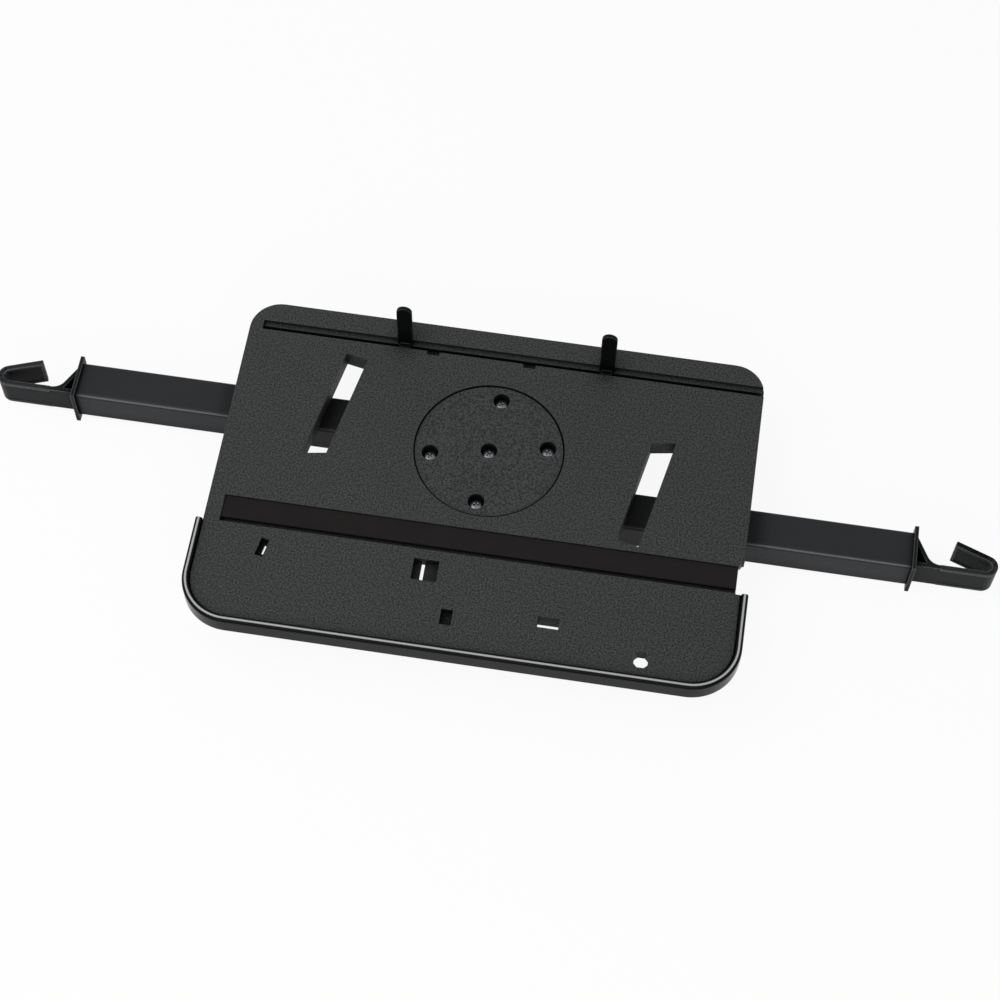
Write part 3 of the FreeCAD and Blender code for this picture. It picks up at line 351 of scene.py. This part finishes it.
def steel(name, shade, roughness, line_mm, stretch):
    """Bare or plated steel whose marks are line_mm wide and stretch times as long along X."""
    material, tree = empty_material(name)
    place = add(tree, "ShaderNodeTexCoord").outputs["Object"]
    drawn = add(tree, "ShaderNodeMapping", {"Scale": (1 / stretch, 1.0, 1.0)}, {"Vector": place})
    marks = add(
        tree, "ShaderNodeTexNoise", {"Scale": 1 / (line_mm * MM), "Detail": 4.0},
        {"Vector": drawn.outputs["Vector"]},
    )
    dullness = add(
        tree, "ShaderNodeMapRange",
        SCUFF_NOISE | {
            "To Min": roughness * (1 - STEEL_ROUGH_SWING),
            "To Max": roughness * (1 + STEEL_ROUGH_SWING),
        },
        {"Value": marks.outputs["Fac"]},
    )
    tint = add(
        tree, "ShaderNodeMix",
        {"data_type": "RGBA", 6: dimmed(shade, STEEL_DARK), 7: linear(shade)},
        {0: marks.outputs["Fac"]},
    )
    shader = add(
        tree, "ShaderNodeBsdfPrincipled", {"Metallic": 1.0},
        {"Base Color": tint.outputs[2], "Roughness": dullness.outputs["Result"]},
    )
    add(tree, "ShaderNodeOutputMaterial", {}, {"Surface": shader.outputs["BSDF"]})
    return material


zinc_plate = steel("zinc_plated_steel", "#7d8084", roughness=0.32, line_mm=0.8, stretch=1.0)
spring_steel = steel("rolled_spring_steel", "#8b8e93", roughness=0.34, line_mm=0.25, stretch=30.0)
print("steels:", zinc_plate.name, spring_steel.name)

# %% [markdown]
# ## Dressing the solids
# Each solid keeps its mesh and takes the finish of its moulding. The list says which piece is made of
# what, as a parts list would.

# %% Finishes by piece
FINISHES = {
    "tray_plate": grained_abs,
    "hub_disc": grained_abs,
    "front_rim": polished_abs,
    "grip_strip": epdm_rubber,
    "left_stop": black_acetal,
    "right_stop": black_acetal,
    "carrier_base": satin_abs,
    "carrier_cover": satin_abs,
    "left_arm": painted_highlight_abs,
    "right_arm": painted_highlight_abs,
    "left_plug": black_acetal,
    "right_plug": black_acetal,
    "left_hook": filled_nylon,
    "right_hook": filled_nylon,
    "swivel_washer": natural_nylon,
    "left_leaf": spring_steel,
    "right_leaf": spring_steel,
}
for node, finish in FINISHES.items():
    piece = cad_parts[node]
    if not piece.material_slots:
        piece.data.materials.append(finish)
    for material_slot in piece.material_slots:
        material_slot.material = finish
print("dressed", len(FINISHES), "solids")

# %% [markdown]
# ## Screws with a cross recess
# The solids stand in for the screws with plain round heads. The real ones are pan-head screws with a
# cross recess, and the ones in the hub glint from the bottom of their dark holes. One screw is turned
# from its profile, a cross is cut from its head, and copies of it stand at each place. Turning a
# profile in code keeps the mesh light; the cut is a boolean, because a recess is just that.

# %% One screw, turned and cut
TURNS = 40
# The curve of the head from its rim to its crown, in shares of its radius and its height.
PAN_CURVE = ((1.0, 0.35), (0.93, 0.62), (0.75, 0.85), (0.45, 0.97))
# The reach, width and depth of the recess as shares of the head, and its bottom as a share of its top.
RECESS_REACH, RECESS_WIDTH, RECESS_DEPTH, RECESS_TAPER = 0.58, 0.3, 0.6, 0.55


def turned(name, profile):
    """A closed mesh made by turning a list of (radius, height) about the upright axis."""
    shape = bmesh.new()
    rings = []
    for radius, height in profile:
        if radius == 0:
            rings.append([shape.verts.new((0, 0, height))])
            continue
        rings.append([
            shape.verts.new((
                radius * math.cos(2 * math.pi * step / TURNS),
                radius * math.sin(2 * math.pi * step / TURNS),
                height,
            ))
            for step in range(TURNS)
        ])
    for low, high in zip(rings, rings[1:]):
        for step in range(TURNS):
            after = (step + 1) % TURNS
            corners = [
                low[step % len(low)], low[after % len(low)],
                high[after % len(high)], high[step % len(high)],
            ]
            shape.faces.new(list(dict.fromkeys(corners)))
    bmesh.ops.recalc_face_normals(shape, faces=shape.faces)
    mesh = bpy.data.meshes.new(name)
    shape.to_mesh(mesh)
    shape.free()
    return mesh


def cross(name, reach, width, top, depth):
    """A cutter for the recess: crossed bars that narrow downwards."""
    shape = bmesh.new()
    for along in (0.0, math.pi / 2):
        bar = bmesh.ops.create_cube(shape, size=1.0)["verts"]
        for vertex in bar:
            slim = 1.0 if vertex.co.z > 0 else RECESS_TAPER
            vertex.co = Vector((
                vertex.co.x * 2 * reach * slim,
                vertex.co.y * width * slim,
                top - depth if vertex.co.z < 0 else top + depth,
            ))
        bmesh.ops.rotate(shape, verts=bar, matrix=Matrix.Rotation(along, 3, "Z"))
    mesh = bpy.data.meshes.new(name)
    shape.to_mesh(mesh)
    shape.free()
    return mesh


def cut(solid, cutter):
    """The solid mesh less the cutter mesh."""
    body = bpy.data.objects.new("solid", solid)
    tool = bpy.data.objects.new("cutter", cutter)
    for helper in (body, tool):
        scene.collection.objects.link(helper)
    boolean = body.modifiers.new("recess", "BOOLEAN")
    boolean.object = tool
    boolean.operation = "DIFFERENCE"
    boolean.solver = "EXACT"
    boolean.use_self = True
    result = bpy.data.meshes.new_from_object(body.evaluated_get(bpy.context.evaluated_depsgraph_get()))
    for helper in (body, tool):
        bpy.data.objects.remove(helper)
    return result


def pan_head(name, head_mm, height_mm, shank_mm, length_mm):
    """A pan-head screw, head up, with its seat at height 0."""
    head, height = head_mm * MM, height_mm * MM
    shank, length = shank_mm * MM, length_mm * MM
    profile = [(0, -length), (shank, -length), (shank, 0), (head, 0)]
    profile += [(out * head, up * height) for out, up in PAN_CURVE]
    profile.append((0, height))
    recess = cross(
        name + "_cross", RECESS_REACH * head, RECESS_WIDTH * head, height, RECESS_DEPTH * height
    )
    return cut(turned(name, profile), recess)


# %% Screws at their places
HUB_CIRCLE = 33.0
HUB_TURNS = (10.8, 86.3, 190.8, 266.3)
RIM_SIDE, RIM_SIDE_Y = 144.0, -92.0
RIM_FRONT_SIDES, RIM_FRONT_Y = (40.0, 118.0), -119.1
COVER_SIDE, COVER_END = 56.0, 32.6
HOOK_SCREW_X, HOOK_SCREW_Y = 230.0, 17.5
UP, DOWN = 1, -1


def screws(node, body, screw, seat_mm, facing, places, turn_deg):
    """Copies of a screw, heads up or down, in place of the plain ones of a node."""
    joined = bmesh.new()
    for number, (x, y) in enumerate(places):
        before = len(joined.verts)
        joined.from_mesh(screw)
        joined.verts.ensure_lookup_table()
        stand = (
            Matrix.Translation(Vector((x, y, seat_mm)) * MM)
            @ Matrix.Rotation(math.radians(turn_deg * (number + 1)), 4, "Z")
            @ (Matrix.Identity(4) if facing == UP else Matrix.Rotation(math.pi, 4, "X"))
        )
        bmesh.ops.transform(joined, matrix=stand, verts=joined.verts[before:])
    mesh = bpy.data.meshes.new(node + "_turned")
    joined.to_mesh(mesh)
    joined.free()
    mesh.materials.clear()
    mesh.materials.append(zinc_plate)
    piece = bpy.data.objects.new(node + "_turned", mesh)
    scene.collection.objects.link(piece)
    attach(piece, body)
    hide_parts(node)


hub_places = [(0.0, 0.0)]
for turn in HUB_TURNS:
    angle = math.radians(turn)
    hub_places.append((HUB_CIRCLE * math.cos(angle), HUB_CIRCLE * math.sin(angle)))
rim_places = [(side * RIM_SIDE, RIM_SIDE_Y) for side in (-1, 1)]
rim_places += [(side * along, RIM_FRONT_Y) for along in RIM_FRONT_SIDES for side in (-1, 1)]
cover_places = [(side * COVER_SIDE, end * COVER_END) for side in (-1, 1) for end in (-1, 1)]
left_place, right_place = [(-HOOK_SCREW_X, HOOK_SCREW_Y)], [(HOOK_SCREW_X, -HOOK_SCREW_Y)]
hub_screw = pan_head("hub_screw", head_mm=3.9, height_mm=2.2, shank_mm=1.7, length_mm=6.2)
rim_screw = pan_head("rim_screw", head_mm=2.7, height_mm=1.4, shank_mm=1.45, length_mm=4.2)
cover_screw = pan_head("cover_screw", head_mm=3.0, height_mm=1.2, shank_mm=1.5, length_mm=11.0)
hook_screw = pan_head("hook_screw", head_mm=3.0, height_mm=1.6, shank_mm=1.5, length_mm=9.0)
screws(
    "hub_screws", "carrier", hub_screw,
    seat_mm=33.0, facing=UP, places=hub_places, turn_deg=37.0,
)
screws(
    "rim_screws", "tray", rim_screw,
    seat_mm=31.5, facing=DOWN, places=rim_places, turn_deg=23.0,
)
screws(
    "cover_screws", "carrier", cover_screw,
    seat_mm=1.6, facing=DOWN, places=cover_places, turn_deg=31.0,
)
screws(
    "left_hook_screw", "left_arm", hook_screw,
    seat_mm=3.2, facing=DOWN, places=left_place, turn_deg=15.0,
)
screws(
    "right_hook_screw", "right_arm", hook_screw,
    seat_mm=3.2, facing=DOWN, places=right_place, turn_deg=52.0,
)
print("screws stand at", len(hub_places) + len(rim_places) + len(cover_places) + 2, "places")

# %% [markdown]
# ## Stops, hook borders and window sleeves
# Three moulded details are too fine for the solids. The stops have rounded edges, drawn paler partly as
# wear and partly as a painted highlight; the strip of each hook is stiffened by a raised border along
# both edges and round the tip; and two of the windows go on below the plate as short sleeves, a guess
# from how dark they look. Flat outlines pushed to a thickness make the stops, a small section carried
# along the hook's line makes the borders, and a pair of outlines joined into a tube makes a sleeve.


# %% Prisms from flat outlines
def prism(shape, corners, place, low, high):
    """Adds an outline pushed from low to high; place turns (u, v, depth) into a point. All in mm."""
    layers = [
        [shape.verts.new(Vector(place(u, v, depth)) * MM) for u, v in corners] for depth in (low, high)
    ]
    shape.faces.new(layers[0])
    shape.faces.new(layers[1][::-1])
    for number in range(len(corners)):
        after = (number + 1) % len(corners)
        shape.faces.new((layers[0][number], layers[1][number], layers[1][after], layers[0][after]))


def piece_from(shape, name, body, finish, rounding_mm=0.0):
    """The shape as an object that rides on a body, its sharp edges rounded if asked."""
    bmesh.ops.recalc_face_normals(shape, faces=shape.faces)
    mesh = bpy.data.meshes.new(name)
    shape.to_mesh(mesh)
    shape.free()
    mesh.materials.append(finish)
    piece = bpy.data.objects.new(name, mesh)
    scene.collection.objects.link(piece)
    if rounding_mm:
        rounding = piece.modifiers.new("rounding", "BEVEL")
        rounding.width = rounding_mm * MM
        rounding.segments = 3
        rounding.limit_method = "ANGLE"
        rounding.angle_limit = math.radians(40)
    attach(piece, body)
    return piece


# %% Stops
FACE = 40.0
STOP_SPREAD = 58.3
STOP_HALF = 4.4
STOP_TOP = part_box("left_stop")[1][2] / MM
STOP_FRONT, STOP_BACK = 62.15, 64.65
FOOT_LOW, FOOT_TOP, FOOT_HALF = 38.35, 39.75, 3.2
NECK_FRONT, NECK_BACK = 59.15, 61.65
TOE_FRONT, TOE_LOW, TOE_TOP = 56.75, 34.65, 36.95
ARCH_STEPS = 16

for node, side in (("left_stop", -1), ("right_stop", 1)):
    middle, crown = side * STOP_SPREAD, STOP_TOP - STOP_HALF
    finger = [(middle - STOP_HALF, FOOT_LOW), (middle + STOP_HALF, FOOT_LOW)]
    finger += [
        (
            middle + STOP_HALF * math.cos(math.pi * step / ARCH_STEPS),
            crown + STOP_HALF * math.sin(math.pi * step / ARCH_STEPS),
        )
        for step in range(ARCH_STEPS + 1)
    ]
    foot = [
        (TOE_FRONT, TOE_LOW), (NECK_BACK, TOE_LOW), (NECK_BACK, FOOT_LOW), (STOP_BACK, FOOT_LOW),
        (STOP_BACK, FOOT_TOP), (NECK_FRONT, FOOT_TOP), (NECK_FRONT, TOE_TOP), (TOE_FRONT, TOE_TOP),
    ]
    shape = bmesh.new()
    prism(shape, finger, lambda x, z, y: (x, y, z), STOP_FRONT, STOP_BACK)
    prism(shape, foot, lambda y, z, x: (x, y, z), middle - FOOT_HALF, middle + FOOT_HALF)
    piece = piece_from(shape, node + "_finger", node, black_acetal, rounding_mm=0.55)
    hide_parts(node)
print("stops stand", round(STOP_TOP - FACE, 1), "mm above the face, as their solids do")

# %% Raised borders of the hooks
ARM_HEIGHT = 14.5
HOOK_HALF = 9.35
BORDER_HEIGHT = 1.9
STRIP_HALF, BORDER_HALF = 1.3, 1.7
# The border turns a little before the strip does, so that it never reaches past the hook.
BEND_AT, BEND_RADIUS = 281.55, 4.9
BORDER_START, HOOK_TIP = 256.6, 264.6
LEFT_SHANK, RIGHT_SHANK = 9.8, -25.2
RETURN_SLOPE = math.radians(20)
BEND_STEPS = 14


def carried(shape, line, low, high):
    """Adds a bar of the border's width along a line of (x, y), between two heights."""
    rings = []
    for number, point in enumerate(line):
        before = Vector(line[max(number - 1, 0)])
        after = Vector(line[min(number + 1, len(line) - 1)])
        run = (after - before).normalized()
        across = Vector((-run.y, run.x)) * BORDER_HALF
        sides = (Vector(point) - across, Vector(point) + across)
        corners = [(sides[0], low), (sides[1], low), (sides[1], high), (sides[0], high)]
        rings.append([shape.verts.new(Vector((spot.x, spot.y, height)) * MM) for spot, height in corners])
    shape.faces.new(rings[0])
    shape.faces.new(rings[-1][::-1])
    for ring, following in zip(rings, rings[1:]):
        for number in range(4):
            after = (number + 1) % 4
            shape.faces.new((ring[number], ring[after], following[after], following[number]))


for body, side, shank in (("left_arm", -1, LEFT_SHANK), ("right_arm", 1, RIGHT_SHANK)):
    turns = [
        -math.pi / 2 + (math.pi - RETURN_SLOPE) * step / BEND_STEPS for step in range(BEND_STEPS + 1)
    ]
    line = [(BORDER_START, shank)]
    line += [
        (BEND_AT + BEND_RADIUS * math.cos(turn), shank + BEND_RADIUS + BEND_RADIUS * math.sin(turn))
        for turn in turns
    ]
    leave_x, leave_y = line[-1]
    tip = (HOOK_TIP, leave_y + (leave_x - HOOK_TIP) * math.tan(RETURN_SLOPE))
    line.append(tip)
    line = [(side * x, y) for x, y in line]
    before_tip = Vector(line[-1]) + (Vector(line[-2]) - Vector(line[-1])).normalized() * BORDER_HEIGHT
    shape = bmesh.new()
    low, high = ARM_HEIGHT - HOOK_HALF, ARM_HEIGHT + HOOK_HALF
    carried(shape, line, high - BORDER_HEIGHT, high)
    carried(shape, line, low, low + BORDER_HEIGHT)
    carried(shape, [tuple(before_tip), line[-1]], low + BORDER_HEIGHT, high - BORDER_HEIGHT)
    # The borders take the paler nylon, a painted highlight.
    piece_from(shape, body + "_hook_border", body, painted_highlight_nylon, rounding_mm=0.5)
print("borders stand", round(BORDER_HALF - STRIP_HALF, 1), "mm proud of the hook's strip")

# %% Sleeves under the windows
SLEEVE_WALL = 1.2
WIDE_PLACE, WIDE_LOW, WIDE_TOP = (47.7, -100.5), 29.0, 33.2
WIDE_X, WIDE_Y = 5.9, 3.25
WIDE_WINDOW = [(-WIDE_X, -WIDE_Y), (WIDE_X, -WIDE_Y), (WIDE_X, WIDE_Y), (-WIDE_X, WIDE_Y)]
ROUND_PLACE, ROUND_LOW, ROUND_TOP = (99.7, -114.3), 32.3, 37.5
ROUND_X, ROUND_Y, ROUND_CUT = 3.85, 4.55, 1.9
ROUND_WINDOW = [
    (ROUND_CUT - ROUND_X, -ROUND_Y), (ROUND_X - ROUND_CUT, -ROUND_Y),
    (ROUND_X, ROUND_CUT - ROUND_Y), (ROUND_X, ROUND_Y - ROUND_CUT),
    (ROUND_X - ROUND_CUT, ROUND_Y), (ROUND_CUT - ROUND_X, ROUND_Y),
    (-ROUND_X, ROUND_Y - ROUND_CUT), (-ROUND_X, ROUND_CUT - ROUND_Y),
]


def sleeve(shape, corners, middle, low, high):
    """Adds a tube round an outline given about its middle; its wall stands outside the outline."""
    wide, deep = max(u for u, v in corners), max(v for u, v in corners)
    outer = [(u * (1 + SLEEVE_WALL / wide), v * (1 + SLEEVE_WALL / deep)) for u, v in corners]
    rings = [
        [shape.verts.new(Vector((middle[0] + u, middle[1] + v, height)) * MM) for u, v in outline]
        for outline, height in ((corners, low), (corners, high), (outer, high), (outer, low))
    ]
    for ring, following in zip(rings, rings[1:] + rings[:1]):
        for number in range(len(corners)):
            after = (number + 1) % len(corners)
            shape.faces.new((ring[number], ring[after], following[after], following[number]))


shape = bmesh.new()
sleeve(shape, WIDE_WINDOW, WIDE_PLACE, WIDE_LOW, WIDE_TOP)
sleeve(shape, ROUND_WINDOW, ROUND_PLACE, ROUND_LOW, ROUND_TOP)
piece_from(shape, "window_sleeves", "tray", grained_abs)
print("sleeves with walls of", SLEEVE_WALL, "mm")

# %% [markdown]
# ## Floor and light
# The photograph has a white ground. The floor and the world show white to the camera and to
# reflections, and the floor still takes part of the object's shadow, so the tray doesn't float. A wide
# soft box from the upper left lights the face evenly; a long one low in front lights the near sides of
# the arms and the lip.

# %% Floor
FLOOR_SIDE = 60.0
FLOOR_GAP_MM = 0.05
FLOOR_WHITE = 0.92


def background_seen(tree):
    """1 for a ray that sees the background: from the camera, off a gloss or through something clear."""
    ray = add(tree, "ShaderNodeLightPath")
    direct = add(
        tree, "ShaderNodeMath", {"operation": "MAXIMUM"},
        {0: ray.outputs["Is Camera Ray"], 1: ray.outputs["Is Glossy Ray"]},
    )
    every = add(
        tree, "ShaderNodeMath", {"operation": "MAXIMUM"},
        {0: direct.outputs["Value"], 1: ray.outputs["Is Transmission Ray"]},
    )
    return every.outputs["Value"]


floor_shape = bmesh.new()
bmesh.ops.create_grid(floor_shape, x_segments=1, y_segments=1, size=FLOOR_SIDE / 2)
floor_mesh = bpy.data.meshes.new("floor")
floor_shape.to_mesh(floor_mesh)
floor_shape.free()
floor = bpy.data.objects.new("floor", floor_mesh)
floor.location.z = cad_box[0][2] - FLOOR_GAP_MM * MM
scene.collection.objects.link(floor)
paper, tree = empty_material("white_paper")
share = add(
    tree, "ShaderNodeMath", {"operation": "MULTIPLY", 1: FLOOR_WHITE}, {0: background_seen(tree)}
)
matte = add(tree, "ShaderNodeBsdfDiffuse", {"Color": linear("#f4f4f4")})
white = add(tree, "ShaderNodeEmission", {"Color": linear("#ffffff"), "Strength": 1.0})
both = add(
    tree, "ShaderNodeMixShader", {},
    {0: share.outputs["Value"], 1: matte.outputs["BSDF"], 2: white.outputs["Emission"]},
)
add(tree, "ShaderNodeOutputMaterial", {}, {"Surface": both.outputs["Shader"]})
floor.data.materials.append(paper)
print("floor", FLOOR_SIDE, "m square")

# %% Sky and lamps
ROOM_LIGHT = 0.4
LAMP_AIM = (0, 0, 0.03)
world = bpy.data.worlds.new("studio")
scene.world = world
world.use_nodes = True
tree = world.node_tree
tree.nodes.clear()
room = add(tree, "ShaderNodeBackground", {"Color": linear("#ffffff"), "Strength": ROOM_LIGHT})
backdrop = add(tree, "ShaderNodeBackground", {"Color": linear("#ffffff"), "Strength": 1.0})
sky = add(
    tree, "ShaderNodeMixShader", {},
    {0: background_seen(tree), 1: room.outputs["Background"], 2: backdrop.outputs["Background"]},
)
add(tree, "ShaderNodeOutputWorld", {}, {"Surface": sky.outputs["Shader"]})


def soft_box(name, place, aim, width, height, watts):
    """A rectangular lamp that faces its aim."""
    lamp = bpy.data.lights.new(name, "AREA")
    lamp.shape = "RECTANGLE"
    lamp.size = width
    lamp.size_y = height
    lamp.energy = watts
    holder = bpy.data.objects.new(name, lamp)
    holder.location = place
    holder.rotation_euler = (Vector(aim) - Vector(place)).to_track_quat("-Z", "Y").to_euler()
    scene.collection.objects.link(holder)


soft_box("upper_left", (-0.9, -0.3, 1.5), LAMP_AIM, width=1.2, height=1.2, watts=14.0)
soft_box("low_front", (0.0, -1.3, 0.72), LAMP_AIM, width=1.8, height=0.7, watts=8.0)
print("lamps:", [item.name for item in bpy.data.lights])

# %% [markdown]
# ## The end
# The dressed model has to stay inside the box of the solids.

# %% The end
print("scene built")
